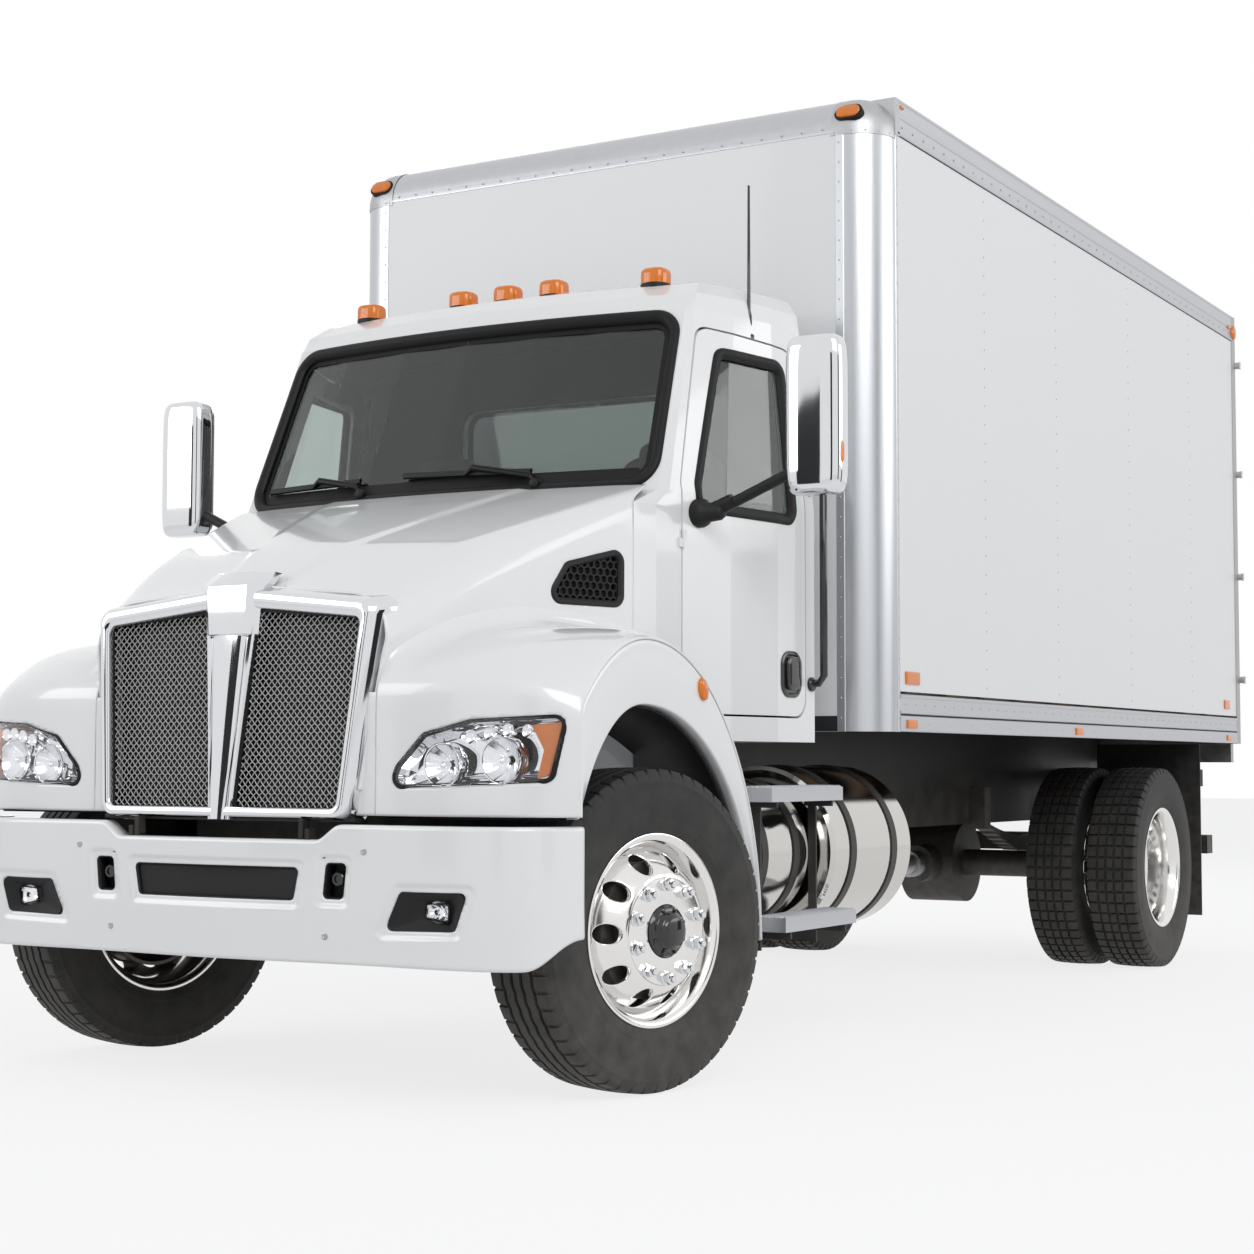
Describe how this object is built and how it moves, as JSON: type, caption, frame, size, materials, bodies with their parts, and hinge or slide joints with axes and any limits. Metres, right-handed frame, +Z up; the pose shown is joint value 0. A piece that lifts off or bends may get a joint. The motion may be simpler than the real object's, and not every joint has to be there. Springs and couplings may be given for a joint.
{
  "type": "box truck",
  "caption": "Medium conventional-cab truck with a van body: tilting hood, opening cab and cargo doors, steered front wheels and twin rear wheels.",
  "frame": {"origin": "on the ground at the centre line, half way along the overall length", "axes": "+Y towards the rear, +X towards the vehicle's left, +Z up"},
  "size_m": [2.957, 7.22, 3.541],
  "materials": {
    "chassis_black": "satin",
    "cast": "rough cast",
    "radiator": "matte fins",
    "polished": "polished",
    "tread": "satin",
    "white_paint": "gloss",
    "white_panel": "satin",
    "black_plastic": "matte",
    "glass": "tinted",
    "lamp_glass": "clear",
    "cloth": "woven",
    "rail_aluminium": "brushed",
    "wood": "oiled boards",
    "amber": "clear amber",
    "flap_rubber": "matte",
    "screen": "bright wire",
    "chrome": "polished",
    "tyre": "matte",
    "wheel": "polished"
  },
  "bodies": {
    "chassis": {"frame": "chassis_black", "bumper_arms": "chassis_black", "front_axle": "chassis_black", "leaf_springs": "chassis_black", "rear_axle": "chassis_black", "drive_shaft": "chassis_black", "engine_block": "cast", "radiator": "radiator", "fuel_tank": "polished", "exhaust_canister": "polished", "battery_box": "chassis_black", "steps": "tread", "rail_brackets": "chassis_black", "bumper": "white_paint", "bumper_pockets": "black_plastic", "cab": "white_paint", "cab_glass": "glass", "dashboard": "black_plastic", "seats": "cloth", "steering_wheel": "black_plastic", "cab_fittings": "black_plastic", "side_rails": "rail_aluminium", "wall_panels": "white_panel", "van_roof": "white_panel", "load_floor": "wood", "front_frame": "rail_aluminium", "rear_frame": "rail_aluminium", "underframe": "chassis_black", "small_lamps": "amber", "rear_guard": "chassis_black", "mud_flaps": "flap_rubber"},
    "hood": {"hood": "white_paint", "headlamps": "lamp_glass", "hood_screens": "screen", "grille_surround": "chrome"},
    "door_left": {"door_left": "white_paint", "door_glass_left": "glass", "mirror_left": "chrome"},
    "door_right": {"door_right": "white_paint", "door_glass_right": "glass", "mirror_right": "chrome"},
    "knuckle_left": {"knuckle_left": "cast"},
    "knuckle_right": {"knuckle_right": "cast"},
    "tie_rod": {"tie_rod": "chassis_black"},
    "wheel_front_left": {"tyre_front_left": "tyre", "wheel_front_left": "wheel"},
    "wheel_front_right": {"tyre_front_right": "tyre", "wheel_front_right": "wheel"},
    "wheel_rear_left": {"tyres_rear_left": "tyre", "wheels_rear_left": "wheel"},
    "wheel_rear_right": {"tyres_rear_right": "tyre", "wheels_rear_right": "wheel"},
    "cargo_door_left": {"cargo_door_left": "white_panel"},
    "cargo_door_right": {"cargo_door_right": "white_panel"}
  },
  "joints": [
    {"name": "hood_tilt", "type": "hinge", "parent": "chassis", "child": "hood", "pos_m": [0, -3.565, 0.8], "axis": [1, 0, 0], "range_deg": [0, 60]},
    {"name": "steer_left", "type": "hinge", "parent": "chassis", "child": "knuckle_left", "pos_m": [0.885, -2.8, 0.5], "axis": [0, 0, 1], "range_deg": [-22, 48]},
    {"name": "steer_right", "type": "hinge", "parent": "chassis", "child": "knuckle_right", "pos_m": [-0.885, -2.8, 0.5], "axis": [0, 0, 1], "range_deg": [-22, 48]},
    {"name": "tie_rod_turn", "type": "hinge", "parent": "knuckle_left", "child": "tie_rod", "pos_m": [0.92774, -2.61487, 0.406], "axis": [0, 0, 1], "range_deg": [-48, 22]},
    {"name": "door_left_hinge", "type": "hinge", "parent": "chassis", "child": "door_left", "pos_m": [0.933, -2.3165, 1.3], "axis": [0, 0, -1], "range_deg": [0, 65]},
    {"name": "wheel_front_left_spin", "type": "hinge", "parent": "knuckle_left", "child": "wheel_front_left", "pos_m": [1.02628, -2.83262, 0.5], "axis": [0.9744, -0.225, 0], "continuous": true},
    {"name": "wheel_rear_left_spin", "type": "hinge", "parent": "chassis", "child": "wheel_rear_left", "pos_m": [0.929, 2.178, 0.5], "axis": [1, 0, 0], "continuous": true},
    {"name": "cargo_door_left_hinge", "type": "hinge", "parent": "chassis", "child": "cargo_door_left", "pos_m": [1.249, 3.601, 2], "axis": [0, 0, -1], "range_deg": [0, 265]},
    {"name": "door_right_hinge", "type": "hinge", "parent": "chassis", "child": "door_right", "pos_m": [-0.933, -2.3165, 1.3], "axis": [0, 0, 1], "range_deg": [0, 65]},
    {"name": "wheel_front_right_spin", "type": "hinge", "parent": "knuckle_right", "child": "wheel_front_right", "pos_m": [-1.02628, -2.76738, 0.5], "axis": [0.9744, -0.225, 0], "continuous": true},
    {"name": "wheel_rear_right_spin", "type": "hinge", "parent": "chassis", "child": "wheel_rear_right", "pos_m": [-0.929, 2.178, 0.5], "axis": [1, 0, 0], "continuous": true},
    {"name": "cargo_door_right_hinge", "type": "hinge", "parent": "chassis", "child": "cargo_door_right", "pos_m": [-1.249, 3.601, 2], "axis": [0, 0, 1], "range_deg": [0, 265]}
  ],
  "couplings": [
    {"joint": "steer_right", "follows": "steer_left", "ratio": 1},
    {"joint": "tie_rod_turn", "follows": "steer_left", "ratio": -1}
  ]
}
